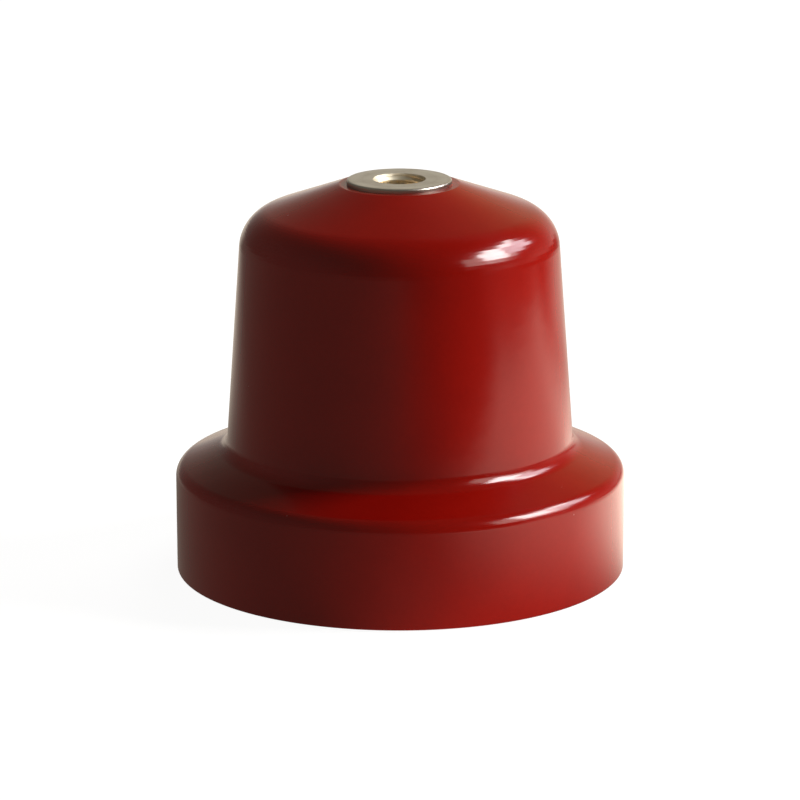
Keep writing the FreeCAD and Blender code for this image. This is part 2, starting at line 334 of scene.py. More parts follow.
@dataclass
class Outline:
    """An outline in the plane of the axis, walked with the solid on its left."""

    corners: list[Corner]
    arc_step: float = 5.0

    def stations(self) -> list[Station]:
        """Walks the outline, and puts stations along its straight stretches and round its arcs.

        Returns:
            The stations, in order.
        """
        found = [self._station(self.corners[0], self.corners[0], self.corners[1], Surface.PLAIN)]
        start = Vector((self.corners[0].radius, self.corners[0].height))
        for before, corner, after in self._triples():
            here = Vector((corner.radius, corner.height))
            back = (Vector((before.radius, before.height)) - here).normalized()
            ahead = (Vector((after.radius, after.height)) - here).normalized()
            turn = math.pi - back.angle(ahead) if corner.round else 0.0
            reach = corner.round * math.tan(turn / 2)
            entry = here + back * reach
            found += self._straight(start, entry, corner)
            if corner.round:
                found += self._arc(entry, here + ahead * reach, here, corner, turn)
            start = here + ahead * reach
        last = self.corners[-1]
        found += self._straight(start, Vector((last.radius, last.height)), last)
        return found

    def _triples(self) -> Iterator[tuple[Corner, Corner, Corner]]:
        """Yields each inner corner with its two neighbours."""
        yield from zip(self.corners, self.corners[1:], self.corners[2:])

    @staticmethod
    def _station(at: Corner, first: Corner, second: Corner, surface: Surface) -> Station:
        """Makes a station that faces square to the line from first to second."""
        along = Vector((second.radius - first.radius, second.height - first.height)).normalized()
        return Station(at.radius, at.height, along.y, -along.x, surface)

    @staticmethod
    def _straight(start: Vector, end: Vector, corner: Corner) -> list[Station]:
        """Divides a straight stretch into steps no longer than its corner asks for.

        Args:
            start: where the stretch starts.
            end: where it ends.
            corner: the corner that it leads to.

        Returns:
            A station at the end of each step.
        """
        run = end - start
        if run.length < TINY:
            return []
        count = max(1, math.ceil(run.length / corner.step - TINY))
        along = run.normalized()
        return [
            Station(*(start + run * (k / count)), along.y, -along.x, corner.surface)
            for k in range(1, count + 1)
        ]

    def _arc(
        self,
        entry: Vector,
        leave: Vector,
        here: Vector,
        corner: Corner,
        turn: float,
    ) -> list[Station]:
        """Puts stations round an arc, by turning the spoke from its centre.

        Args:
            entry: where the arc starts.
            leave: where it ends.
            here: the theoretical corner that it rounds.
            corner: that corner's sizes.
            turn: how far the outline turns, in radians.

        Returns:
            A station at the end of each step round the arc.
        """
        middle = (entry + leave) / 2
        centre = here + (middle - here).normalized() * (corner.round / math.cos(turn / 2))
        spoke = entry - centre
        left = spoke.x * (leave - centre).y - spoke.y * (leave - centre).x > 0
        sense = 1.0 if left else -1.0
        count = max(2, math.ceil(math.degrees(turn) / self.arc_step))
        found = []
        for k in range(1, count + 1):
            angle = sense * turn * k / count
            arm = Vector(
                (
                    spoke.x * math.cos(angle) - spoke.y * math.sin(angle),
                    spoke.x * math.sin(angle) + spoke.y * math.cos(angle),
                )
            )
            face = arm.normalized() * sense
            found.append(Station(*(centre + arm), face.x, face.y, corner.surface))
        return found

    def to_object(self, name: str) -> bpy.types.Object:
        """Makes an object whose vertices are the stations, in order, with what each one carries.

        Args:
            name: the object's name.

        Returns:
            An object with a vertex for each station: radius on X and height on Z, in metres.
        """
        stations = self.stations()
        mesh = bpy.data.meshes.new(name)
        places = [(s.radius * MM, 0.0, s.height * MM) for s in stations]
        mesh.from_pydata(places, [], [])
        facing = mesh.attributes.new("facing", "FLOAT_VECTOR", "POINT")
        facing.data.foreach_set("vector", [part for s in stations for part in (s.out, 0.0, s.up)])
        travelled = [0.0]
        for before, after in zip(places, places[1:]):
            travelled.append(travelled[-1] + math.dist(before, after))
        run = mesh.attributes.new("run", "FLOAT", "POINT")
        run.data.foreach_set("value", travelled)
        for surface in MARKED:
            mask = mesh.attributes.new(surface.value, "FLOAT", "POINT")
            mask.data.foreach_set("value", [float(s.surface is surface) for s in stations])
        made = bpy.data.objects.new(name, mesh)
        bpy.context.scene.collection.objects.link(made)
        return made


# ---------------------------------------------------------------------------------------------
# Turning: the Geometry Nodes lathe
# ---------------------------------------------------------------------------------------------


class Lathe:
    """A Geometry Nodes tree that turns an outline round the Z axis.

    It lays a grid of one column for each direction and one row for each station, moves each
    point to its station's radius and height, and welds the seam and the poles. Rows marked
    as thread follow a helix, fluted rows are scalloped, and skin rows carry the moulding's
    faint unevenness.
    """

    SIZES: Inputs = [
        ("Outline", "NodeSocketGeometry", None),
        ("Columns", "NodeSocketInt", 96),
        ("Thread Pitch", "NodeSocketFloat", 0.001),
        ("Thread Depth", "NodeSocketFloat", 0.0),
        ("Thread Crest Radius", "NodeSocketFloat", 0.0),
        ("Thread Length", "NodeSocketFloat", 0.0),
        ("Flutes", "NodeSocketFloat", 0.0),
        ("Flute Radius", "NodeSocketFloat", 0.0),
        ("Unevenness", "NodeSocketFloat", 0.0),
        ("Grain", "NodeSocketFloat", 40.0),
        ("Finish", "NodeSocketMaterial", None),
        ("Thread Finish", "NodeSocketMaterial", None),
    ]

    def __init__(self) -> None:
        """Builds the tree once, for every turned piece."""
        outputs = [("Turned", "NodeSocketGeometry")]
        self.tree, self.write, self.given = open_group("lathe", "GeometryNodeTree", self.SIZES, outputs)
        row, angle, grid = self._grid()
        place = self._read("Position", row)
        radius, height = place.outputs[0], place.outputs[2]
        facing = self._read("facing", row)
        masks = {surface: self._mask(surface.value, row) for surface in MARKED}
        radius = self._thread(radius, height, angle, masks[Surface.THREAD])
        radius = self._flutes(radius, angle, masks[Surface.FLUTED])
        radius, height = self._skin(radius, height, angle, facing, masks[Surface.SKIN])
        self._finish(grid, self._polar(radius, angle, height), row, masks[Surface.THREAD])

    def _grid(self) -> tuple[bpy.types.NodeSocket, bpy.types.NodeSocket, bpy.types.NodeSocket]:
        """Lays the grid.

        Returns:
            Each point's row, each point's angle, and the grid.
        """
        w = self.write
        size = w.add("GeometryNodeAttributeDomainSize", {0: self.given["Outline"]}, component="MESH")
        rows = size.outputs["Point Count"]
        columns = self.given["Columns"]
        counts = {"Vertices X": w.math("ADD", columns, 1.0), "Vertices Y": rows}
        grid = w.add("GeometryNodeMeshGrid", counts).outputs["Mesh"]
        index = w.add("GeometryNodeInputIndex").outputs[0]
        row = w.math("FLOORED_MODULO", index, rows)
        column = w.math("FLOOR", w.math("DIVIDE", w.math("ADD", index, 0.5), rows))
        angle = w.math("DIVIDE", w.math("MULTIPLY", column, math.tau), columns)
        return row, angle, grid

    def _sample(self, source: bpy.types.NodeSocket, row: Feed, kind: str) -> bpy.types.NodeSocket:
        """Reads a field of the outline.

        Args:
            source: the field.
            row: the station to read it at.
            kind: the field's data type.

        Returns:
            The field's value there.
        """
        node = self.write.add("GeometryNodeSampleIndex", data_type=kind, domain="POINT", clamp=True)
        for name, value in (("Geometry", self.given["Outline"]), ("Value", source), ("Index", row)):
            self.write.feed(node.inputs[name], value)
        return node.outputs[0]

    def _read(self, name: str, row: Feed) -> bpy.types.Node:
        """Reads a vector of the outline.

        Args:
            name: Position, or an attribute's name.
            row: the station to read it at.

        Returns:
            A node with the vector's X, Y and Z.
        """
        if name == "Position":
            source = self.write.add("GeometryNodeInputPosition").outputs[0]
        else:
            source = self._attribute(name, "FLOAT_VECTOR")
        value = self._sample(source, row, "FLOAT_VECTOR")
        return self.write.add("ShaderNodeSeparateXYZ", {0: value})

    def _mask(self, name: str, row: Feed) -> bpy.types.NodeSocket:
        """Reads a number of the outline at a row."""
        return self._sample(self._attribute(name, "FLOAT"), row, "FLOAT")

    def _attribute(self, name: str, kind: str) -> bpy.types.NodeSocket:
        """Names an attribute as a field."""
        node = self.write.add("GeometryNodeInputNamedAttribute", {"Name": name}, data_type=kind)
        return node.outputs["Attribute"]

    def _polar(self, radius: Feed, angle: Feed, height: Feed) -> bpy.types.NodeSocket:
        """Works out a place.

        Args:
            radius: its distance from the axis.
            angle: its angle round the axis.
            height: its height.

        Returns:
            The place as a vector.
        """
        w = self.write
        across = w.math("MULTIPLY", radius, w.math("COSINE", angle))
        along = w.math("MULTIPLY", radius, w.math("SINE", angle))
        return w.add("ShaderNodeCombineXYZ", {0: across, 1: along, 2: height}).outputs[0]

    def _thread(self, radius: Feed, height: Feed, angle: Feed, mask: Feed) -> bpy.types.NodeSocket:
        """Cuts a right-hand thread with flats a quarter and an eighth of the pitch wide.

        Args:
            radius: each point's radius.
            height: each point's height.
            angle: each point's angle.
            mask: 1 where the outline carries a thread.

        Returns:
            The new radius.
        """
        w, given = self.write, self.given
        turns = w.math("DIVIDE", angle, math.tau)
        climb = w.math("DIVIDE", height, given["Thread Pitch"])
        phase = w.math("FRACT", w.math("SUBTRACT", climb, turns))
        from_root = w.math("MULTIPLY", w.math("ABSOLUTE", w.math("SUBTRACT", phase, 0.5)), 2.0)
        cut = w.spread(from_root, 0.125, 0.75, 1.0, 0.0)
        runout = w.math("SUBTRACT", given["Thread Length"], given["Thread Pitch"])
        fade = w.spread(height, runout, given["Thread Length"], 1.0, 0.0, smooth=True)
        depth = w.math("MULTIPLY", w.math("MULTIPLY", cut, fade), given["Thread Depth"])
        threaded = w.math("MAXIMUM", radius, w.math("ADD", given["Thread Crest Radius"], depth))
        gain = w.math("MULTIPLY", w.math("SUBTRACT", threaded, radius), mask)
        return w.math("ADD", radius, gain)

    def _flutes(self, radius: Feed, angle: Feed, mask: Feed) -> bpy.types.NodeSocket:
        """Scallops a land with round flutes.

        Args:
            radius: each point's radius.
            angle: each point's angle.
            mask: 1 where the outline is fluted.

        Returns:
            The new radius.
        """
        w, given = self.write, self.given
        pitch = w.math("DIVIDE", math.tau, w.math("MAXIMUM", given["Flutes"], 1.0))
        half = w.math("DIVIDE", pitch, 2.0)
        shifted = w.math("FLOORED_MODULO", w.math("ADD", angle, half), pitch)
        across = w.math("MULTIPLY", w.math("SUBTRACT", shifted, half), radius)
        reach = w.math("POWER", given["Flute Radius"], 2.0)
        inside = w.math("SUBTRACT", reach, w.math("MULTIPLY", across, across))
        depth = w.math("SQRT", w.math("MAXIMUM", inside, 0.0))
        return w.math("SUBTRACT", radius, w.math("MULTIPLY", depth, mask))

    def _skin(
        self,
        radius: Feed,
        height: Feed,
        angle: Feed,
        facing: bpy.types.Node,
        mask: Feed,
    ) -> tuple[bpy.types.NodeSocket, bpy.types.NodeSocket]:
        """Gives the skin a faint unevenness, square to the surface.

        Args:
            radius: each point's radius.
            height: each point's height.
            angle: each point's angle.
            facing: the way the outline faces there.
            mask: 1 where the outline is skin.

        Returns:
            The new radius and the new height.
        """
        w, given = self.write, self.given
        grain = w.noise(self._polar(radius, angle, height), given["Grain"], 1.0)
        swell = w.math("MULTIPLY", w.math("SUBTRACT", grain, 0.5), given["Unevenness"])
        lift = w.math("MULTIPLY", swell, mask)
        return (
            w.math("ADD", radius, w.math("MULTIPLY", lift, facing.outputs[0])),
            w.math("ADD", height, w.math("MULTIPLY", lift, facing.outputs[2])),
        )

    def _finish(self, grid: Feed, place: Feed, row: Feed, thread: Feed) -> None:
        """Places the points, welds them, shades them and sets the materials.

        Args:
            grid: the grid.
            place: where each of its points goes.
            row: each point's row.
            thread: 1 where the outline carries a thread.
        """
        w, given = self.write, self.given
        body = grid
        for name, value in (("run", self._mask("run", row)), ("thread", thread)):
            store = w.add(
                "GeometryNodeStoreNamedAttribute",
                {"Geometry": body, "Name": name, "Value": value},
                data_type="FLOAT",
                domain="POINT",
            )
            body = store.outputs[0]
        body = w.add("GeometryNodeSetPosition", {"Geometry": body, "Position": place}).outputs[0]
        body = dress_solid(w, body, given["Finish"])
        is_thread = w.math("GREATER_THAN", self._attribute("thread", "FLOAT"), 0.5)
        cut = {"Geometry": body, "Selection": is_thread, "Material": given["Thread Finish"]}
        close_group(w, {"Turned": w.add("GeometryNodeSetMaterial", cut).outputs[0]})

    def turn(self, name: str, outline: Outline, sizes: dict[str, object]) -> bpy.types.Object:
        """Turns an outline into a plain mesh.

        Args:
            name: the new piece's name.
            outline: the outline to turn.
            sizes: the tree's named inputs.

        Returns:
            An object at the origin whose mesh has no modifier left.
        """
        return bake(outline.to_object(name), self.tree, sizes)


def bake(
    source: bpy.types.Object,
    tree: bpy.types.NodeTree,
    sizes: dict[str, object],
) -> bpy.types.Object:
    """Runs a Geometry Nodes tree on an object and keeps the result as its plain mesh.

    Args:
        source: the object that the tree reads.
        tree: the tree.
        sizes: a value for each named input that isn't left at its default.

    Returns:
        The same object, with the new mesh and no modifier.
    """
    modifier = source.modifiers.new(tree.name, "NODES")
    modifier.node_group = tree
    for item in tree.interface.items_tree:
        if item.item_type == "SOCKET" and item.in_out == "INPUT" and item.name in sizes:
            modifier[item.identifier] = sizes[item.name]
    bpy.context.view_layer.update()
    graph = bpy.context.evaluated_depsgraph_get()
    mesh = bpy.data.meshes.new_from_object(source.evaluated_get(graph))
    source.modifiers.clear()
    old = source.data
    source.data = mesh
    bpy.data.meshes.remove(old)
    mesh.name = source.name
    return source


def build_pocket_tree() -> bpy.types.NodeTree:
    """Builds the tree that cuts a ring of equal pockets out of a solid.

    Returns:
        A Geometry Nodes tree. Its Tool input is an object with the pocket's shape, modelled
        round the Z axis, and a copy of it stands at each pocket.
    """
    inputs: Inputs = [
        ("Solid", "NodeSocketGeometry", None),
        ("Tool", "NodeSocketObject", None),
        ("Count", "NodeSocketInt", 4),
        ("Pitch Radius", "NodeSocketFloat", 0.04),
        ("First Angle", "NodeSocketFloat", 0.0),
        ("Finish", "NodeSocketMaterial", None),
    ]
    outputs = [("Solid", "NodeSocketGeometry")]
    tree, w, given = open_group("ring_of_pockets", "GeometryNodeTree", inputs, outputs)
    circle = {"Vertices": given["Count"], "Radius": given["Pitch Radius"]}
    ring = w.add("GeometryNodeMeshCircle", circle)
    turn = w.add("ShaderNodeCombineXYZ", {2: given["First Angle"]}).outputs[0]
    seats = w.add("GeometryNodeTransform", {"Geometry": ring.outputs[0], "Rotation": turn}).outputs[0]
    tool = w.add("GeometryNodeObjectInfo", {"Object": given["Tool"], "As Instance": True})
    laid = {"Points": seats, "Instance": tool.outputs["Geometry"]}
    copies = w.add("GeometryNodeInstanceOnPoints", laid).outputs[0]
    solid_tools = w.add("GeometryNodeRealizeInstances", {"Geometry": copies}).outputs[0]
    cut = w.add("GeometryNodeMeshBoolean", operation="DIFFERENCE", solver="EXACT")
    w.feed(cut.inputs["Mesh 1"], given["Solid"])
    w.feed(cut.inputs["Mesh 2"], solid_tools)
    close_group(w, {"Solid": dress_solid(w, cut.outputs[0], given["Finish"])})
    return tree


# ---------------------------------------------------------------------------------------------
# Shared shader effects
# ---------------------------------------------------------------------------------------------


class Effects:
    """Shader node groups that several finishes share."""

    MASK: list[tuple[str, str]] = [("Mask", "NodeSocketFloat")]

    def __init__(self) -> None:
        """Builds each group once."""
        self.scratches = self._build_scratches()
        self.dust = self._build_dust()
        self.lathe_marks = self._build_lathe_marks()

    @staticmethod
    def place(
        writer: NodeWriter,
        group: bpy.types.NodeTree,
        inputs: dict[str, Feed],
    ) -> bpy.types.NodeOutputs:
        """Puts a group in a material.

        Args:
            writer: the material's writer.
            group: the group.
            inputs: the material's own value for each named input.

        Returns:
            The group's outputs.
        """
        node = writer.add("ShaderNodeGroup", node_tree=group)
        for name, value in inputs.items():
            writer.feed(node.inputs[name], value)
        return node.outputs

    def _build_scratches(self) -> bpy.types.NodeTree:
        """Builds hairline scratches in a few directions, each broken up by a coarse noise.

        Returns:
            The group. Its mask is 1 along a scratch.
        """
        inputs: Inputs = [
            ("Vector", "NodeSocketVector", None),
            ("Density", "NodeSocketFloat", 0.5),
        ]
        tree, w, given = open_group("fine_scratches", "ShaderNodeTree", inputs, self.MASK)
        place = given["Vector"]
        least = w.math("SUBTRACT", 0.78, w.math("MULTIPLY", given["Density"], 0.25))
        stretch = (1.0, 0.035, 1.0)
        total: Feed = 0.0
        for turn, scale in ((0.4, 210.0), (1.5, 260.0), (2.6, 180.0)):
            turned = {"Vector": place, "Rotation": (turn, turn * 0.7, turn * 1.3), "Scale": stretch}
            cells = {"Vector": w.add("ShaderNodeMapping", turned).outputs[0], "Scale": scale}
            edges = w.add("ShaderNodeTexVoronoi", cells, feature="DISTANCE_TO_EDGE")
            line = w.spread(edges.outputs[0], 0.0, 0.012, 1.0, 0.0)
            shown = w.spread(w.noise(place, scale * 0.35, 1.0), least, 0.8)
            total = w.math("MAXIMUM", total, w.math("MULTIPLY", line, shown))
        close_group(w, {"Mask": total})
        return tree

    def _build_dust(self) -> bpy.types.NodeTree:
        """Builds sparse specks that settle on faces that look up.

        Returns:
            The group. Its mask is 1 on a speck.
        """
        inputs: Inputs = [
            ("Vector", "NodeSocketVector", None),
            ("Normal", "NodeSocketVector", None),
            ("Amount", "NodeSocketFloat", 0.5),
        ]
        tree, w, given = open_group("settled_dust", "ShaderNodeTree", inputs, self.MASK)
        cells = w.add("ShaderNodeTexVoronoi", {"Vector": given["Vector"], "Scale": 420.0})
        speck = w.spread(cells.outputs["Distance"], 0.07, 0.11, 1.0, 0.0)
        chosen = w.add("ShaderNodeSeparateXYZ", {0: cells.outputs["Color"]}).outputs[0]
        kept = w.math("GREATER_THAN", given["Amount"], w.math("MULTIPLY", chosen, 8.0))
        up = w.add("ShaderNodeSeparateXYZ", {0: given["Normal"]}).outputs[2]
        settled = w.spread(up, -0.2, 0.9, 0.25, 1.0)
        mask = w.math("MULTIPLY", w.math("MULTIPLY", speck, kept), settled)
        close_group(w, {"Mask": mask})
        return tree

    @staticmethod
    def _build_lathe_marks() -> bpy.types.NodeTree:
        """Builds the rings left by a turning tool, which follow the distance run along the outline.

        Returns:
            The group. It gives the rings' height and a streaky value that changes more slowly.
        """
        inputs: Inputs = [
            ("Run", "NodeSocketFloat", 0.0),
            ("Feed", "NodeSocketFloat", 0.00012),
        ]
        outputs = [("Height", "NodeSocketFloat"), ("Streak", "NodeSocketFloat")]
        tree, w, given = open_group("lathe_marks", "ShaderNodeTree", inputs, outputs)
        turns = w.math("DIVIDE", given["Run"], given["Feed"])
        groove = w.math("ABSOLUTE", w.math("SINE", w.math("MULTIPLY", turns, math.pi)))
        noises = []
        for rate in (0.31, 0.05):
            along = {"W": w.math("MULTIPLY", turns, rate), "Scale": 1.0}
            noises.append(w.add("ShaderNodeTexNoise", along, noise_dimensions="1D").outputs[0])
        uneven, streak = noises
        close_group(w, {"Height": w.math("MULTIPLY", groove, uneven), "Streak": streak})
        return tree


@dataclass(frozen=True)
class Shader:
    """A new material with a writer, its shader and the coordinates that most finishes start from."""

    material: bpy.types.Material
    write: NodeWriter
    surface: bpy.types.Node
    place: bpy.types.NodeSocket
    normal: bpy.types.NodeSocket

    @classmethod
    def start(cls, name: str, metallic: float, ior: float = 1.5) -> "Shader":
        """Makes a material with one Principled BSDF.

        Args:
            name: the material's name.
            metallic: 1 for metal, 0 for anything else.
            ior: its index of refraction.

        Returns:
            The material, ready to be written.
        """
        material = bpy.data.materials.new(name)
        material.use_nodes = True
        write = NodeWriter(material.node_tree)
        surface = material.node_tree.nodes["Principled BSDF"]
        surface.inputs["Metallic"].default_value = metallic
        surface.inputs["IOR"].default_value = ior
        place = write.add("ShaderNodeTexCoord").outputs["Object"]
        normal = write.add("ShaderNodeNewGeometry").outputs["Normal"]
        return cls(material, write, surface, place, normal)

    def bump(
        self,
        height: Feed,
        strength: float,
        distance: float,
        under: Feed | None = None,
    ) -> bpy.types.NodeSocket:
        """Adds a Bump node.

        Args:
            height: the relief.
            strength: how much of it shows.
            distance: how far its full height stands out, in metres.
            under: the normal of a coarser relief beneath it.

        Returns:
            The new normal.
        """
        inputs: dict[str | int, Feed] = {"Height": height, "Strength": strength, "Distance": distance}
        if under is not None:
            inputs["Normal"] = under
        return self.write.add("ShaderNodeBump", inputs).outputs[0]


# ---------------------------------------------------------------------------------------------
# Finishes
# ---------------------------------------------------------------------------------------------


@dataclass(frozen=True)
class CastResin:
    """Glossy pigmented epoxy resin as it leaves a polished mould."""

    name: str = "red_cast_resin"
    colour: Colour = (0.275, 0.0036, 0.0011)
    darker: Colour = (0.235, 0.0026, 0.0009)
    dust: Colour = (0.52, 0.40, 0.36)
    gloss: float = 0.13
    handled: float = 0.06

    def material(self, effects: Effects) -> bpy.types.Material:
        """Builds the material.

        Args:
            effects: the shared node groups.

        Returns:
            The material.
        """
        shader = Shader.start(self.name, metallic=0.0, ior=1.5)
        w, place = shader.write, shader.place
        clouds = w.noise(place, 38.0, 3.0, 0.55)
        pigment = w.noise(place, 900.0, 2.0, 0.6)
        mixed = w.math("ADD", w.math("MULTIPLY", clouds, 0.75), w.math("MULTIPLY", pigment, 0.25))
        colour = w.blend(w.spread(mixed, 0.35, 0.65), rgba(self.colour), rgba(self.darker))
        scratches = effects.place(w, effects.scratches, {"Vector": place, "Density": 0.35})["Mask"]
        specks = {"Vector": place, "Normal": shader.normal, "Amount": 0.16}
        dust = effects.place(w, effects.dust, specks)["Mask"]
        colour = w.blend(w.math("MULTIPLY", dust, 0.2), colour, rgba(self.dust))
        w.feed(shader.surface.inputs["Base Color"], colour)
        smears = w.spread(w.noise(place, 24.0, 4.0, 0.6), 0.5, 0.75, 0.0, self.handled, smooth=True)
        rough = w.math("ADD", smears, self.gloss)
        rough = w.math("ADD", rough, w.math("MULTIPLY", scratches, 0.12))
        rough = w.math("ADD", rough, w.math("MULTIPLY", dust, 0.4))
        w.feed(shader.surface.inputs["Roughness"], rough)
        peel = w.noise(place, 210.0, 1.0, 0.4)
        normal = shader.bump(peel, 0.05, 0.0004)
        normal = shader.bump(w.math("MULTIPLY", scratches, -1.0), 0.25, 0.00002, normal)
        w.feed(shader.surface.inputs["Normal"], normal)
        return shader.material


@dataclass(frozen=True)
class TurnedMetal:
    """Metal off the lathe, with tool marks, tarnish, a few scratches and, where asked, painted shade on
    its upright faces.
    """

    name: str
    colour: Colour
    tarnish: Colour
    gloss: float = 0.3
    feed: float = 0.00014
    tarnished: float = 0.35
    # Painted shade: how far upright faces are darkened, and the dark brown they are darkened to.
    painted_shade: float = 0.0
    painted_shade_colour: Colour = (0.30, 0.20, 0.14)

    def material(self, effects: Effects) -> bpy.types.Material:
        """Builds the material.

        Args:
            effects: the shared node groups.

        Returns:
            The material.
        """
        shader = Shader.start(self.name, metallic=1.0)
        w, place = shader.write, shader.place
        run = w.add("ShaderNodeAttribute", attribute_name="run").outputs["Fac"]
        marks = effects.place(w, effects.lathe_marks, {"Run": run, "Feed": self.feed})
        scratches = effects.place(w, effects.scratches, {"Vector": place, "Density": 0.7})["Mask"]
        bloom = w.spread(w.noise(place, 160.0, 4.0, 0.6), 0.42, 0.7, 0.0, self.tarnished, smooth=True)
        colour = w.blend(bloom, rgba(self.colour), rgba(self.tarnish))
        colour = w.blend(w.spread(marks["Streak"], 0.4, 0.7, 0.0, 0.18), colour, rgba(self.tarnish))
        # Painted shade: faces that look sideways are darkened towards a dark brown, standing in for the
        # dark room they reflect.
        upright = w.math("ABSOLUTE", w.add("ShaderNodeSeparateXYZ", {0: shader.normal}).outputs[2])
        painted_shade = w.spread(upright, 0.35, 0.8, self.painted_shade, 0.0)
        colour = w.blend(painted_shade, colour, rgba(self.painted_shade_colour))
        w.feed(shader.surface.inputs["Base Color"], colour)
        rough = w.spread(marks["Streak"], 0.3, 0.7, self.gloss - 0.05, self.gloss + 0.07)
        rough = w.math("ADD", rough, w.math("MULTIPLY", bloom, 0.2))
        rough = w.math("ADD", rough, w.math("MULTIPLY", scratches, 0.1))
        w.feed(shader.surface.inputs["Roughness"], rough)
        normal = shader.bump(marks["Height"], 0.35, 0.000012)
        normal = shader.bump(w.math("MULTIPLY", scratches, -1.0), 0.3, 0.00002, normal)
        w.feed(shader.surface.inputs["Normal"], normal)
        return shader.material


@dataclass(frozen=True)
class RolledSteel:
    """Stamped sheet steel with a zinc plating."""

    name: str = "zinc_plated_steel"
    colour: Colour = (0.55, 0.55, 0.53)
    shade: Colour = (0.38, 0.39, 0.38)

    def material(self, effects: Effects) -> bpy.types.Material:
        """Builds the material.

        Args:
            effects: the shared node groups.

        Returns:
            The material.
        """
        shader = Shader.start(self.name, metallic=1.0)
        w, place = shader.write, shader.place
        bloom = w.noise(place, 120.0, 4.0, 0.65)
        scratches = effects.place(w, effects.scratches, {"Vector": place, "Density": 0.9})["Mask"]
        colour = w.blend(w.spread(bloom, 0.35, 0.7), rgba(self.colour), rgba(self.shade))
        w.feed(shader.surface.inputs["Base Color"], colour)
        rough = w.spread(bloom, 0.3, 0.7, 0.32, 0.46)
        rough = w.math("ADD", rough, w.math("MULTIPLY", scratches, 0.1))
        w.feed(shader.surface.inputs["Roughness"], rough)
        w.feed(shader.surface.inputs["Normal"], shader.bump(bloom, 0.2, 0.00004))
        return shader.material


@dataclass(frozen=True)
class Finishes:
    """Every finish of the object, built once."""

    resin: bpy.types.Material
    nickel: bpy.types.Material
    thread_metal: bpy.types.Material
    steel: bpy.types.Material

    @classmethod
    def build(cls) -> "Finishes":
        """Builds the shared effects and the materials.

        Returns:
            The materials.
        """
        effects = Effects()
        # The nickel's upright faces carry painted shade.
        nickel = TurnedMetal("nickel_plating", (0.90, 0.87, 0.83), (0.62, 0.56, 0.49), painted_shade=0.65)
        worn = TurnedMetal(
            "worn_plating",
            (0.92, 0.82, 0.64),
            (0.72, 0.54, 0.33),
            gloss=0.52,
            tarnished=0.5,
        )
        return cls(
            resin=CastResin().material(effects),
            nickel=nickel.material(effects),
            thread_metal=worn.material(effects),
            steel=RolledSteel().material(effects),
        )


# ---------------------------------------------------------------------------------------------
# Sub-assemblies
# ---------------------------------------------------------------------------------------------


@dataclass(frozen=True)
class Thread:
    """A coarse metric internal thread, in millimetres. major and mouth are diameters."""

    major: float
    pitch: float
    length: float
    drill_depth: float
    mouth: float

    @property
    def depth(self) -> float:
        """Depth of the cut, five eighths of the sharp triangle's height."""
        return 0.625 * self.pitch * math.cos(math.radians(30))

    @property
    def crest(self) -> float:
        """Radius of the thread's crests, which is the wall of the drilled hole."""
        return self.major / 2 - self.depth


@dataclass(frozen=True)
class InsertShape:
    """Sizes of a turned insert, in millimetres. Its mouth lies at height 0, its buried end above.

    head, neck, barrel and spigot are diameters.
    """

    head: float
    head_length: float
    neck: float
    neck_width: float
    barrel: float
    barrel_length: float
    length: float
    end_round: float
    flutes: int
    flute_radius: float
    thread: Thread
    face_round: float = 0.2
    spigot: float = 0.0
    spigot_length: float = 0.0

    def bore(self) -> list[Corner]:
        """Walks the tapped hole from the axis at the drill's point out to the head's face.

        Returns:
            The corners, in order.
        """
        thread = self.thread
        mouth = thread.mouth / 2
        fine = thread.pitch / 12
        point = thread.crest * math.tan(DRILL_SLOPE)
        return [
            Corner(0.0, thread.drill_depth + point),
            Corner(thread.crest, thread.drill_depth),
            Corner(thread.crest, mouth - thread.crest, step=fine, surface=Surface.THREAD),
            Corner(mouth, 0.0, step=fine, surface=Surface.THREAD),
        ]

    def outside(self, reach: float = 0.0) -> list[Corner]:
        """Walks the outside from the head's face to the axis at the buried end.

        Args:
            reach: how far past the face the head goes on, for a cutting tool.

        Returns:
            The corners, in order.
        """
        head, neck, barrel = self.head / 2, self.neck / 2, self.barrel / 2
        first = self.head_length + self.neck_width
        second = first + self.barrel_length
        third = second + self.neck_width
        top = self.length + self.spigot_length
        corners = [
            Corner(head, -reach) if reach else Corner(head, 0.0, self.face_round),
            Corner(head, self.head_length),
            Corner(neck, self.head_length),
            Corner(neck, first),
            Corner(barrel, first, surface=Surface.FLUTED),
            Corner(barrel, second, surface=Surface.FLUTED),
            Corner(neck, second),
            Corner(neck, third),
            Corner(barrel, third),
            Corner(barrel, self.length, self.end_round),
        ]
        if self.spigot:
            corners.append(Corner(self.spigot / 2, self.length))
            corners.append(Corner(self.spigot / 2, top, 0.3))
        return [*corners, Corner(0.0, top)]


@dataclass
class TappedInsert:
    """One cast-in insert: a turned blank with flutes and a cut thread."""

    node: str
    shape: InsertShape
    place: Matrix
    columns: int
    slot: str = "nickel_plated_brass"

    def build(self, lathe: Lathe, finishes: Finishes) -> bpy.types.Object:
        """Turns the insert, puts it in place and lets it stand for its CAD node.

        Args:
            lathe: the turning tree.
            finishes: the object's materials.

        Returns:
            The finished piece.
        """
        thread = self.shape.thread
        outline = Outline(self.shape.bore() + self.shape.outside(), COARSE_ARC)
        piece = lathe.turn(
            f"{self.node}_turned",
            outline,
            {
                "Columns": self.columns,
                "Thread Pitch": thread.pitch * MM,
                "Thread Depth": thread.depth * MM,
                "Thread Crest Radius": thread.crest * MM,
                "Thread Length": thread.length * MM,
                "Flutes": float(self.shape.flutes),
                "Flute Radius": self.shape.flute_radius * MM,
                "Finish": finishes.nickel,
                "Thread Finish": finishes.thread_metal,
            },
        )
        piece.data.transform(self.place)
        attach(piece, "root")
        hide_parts(self.node)
        return piece


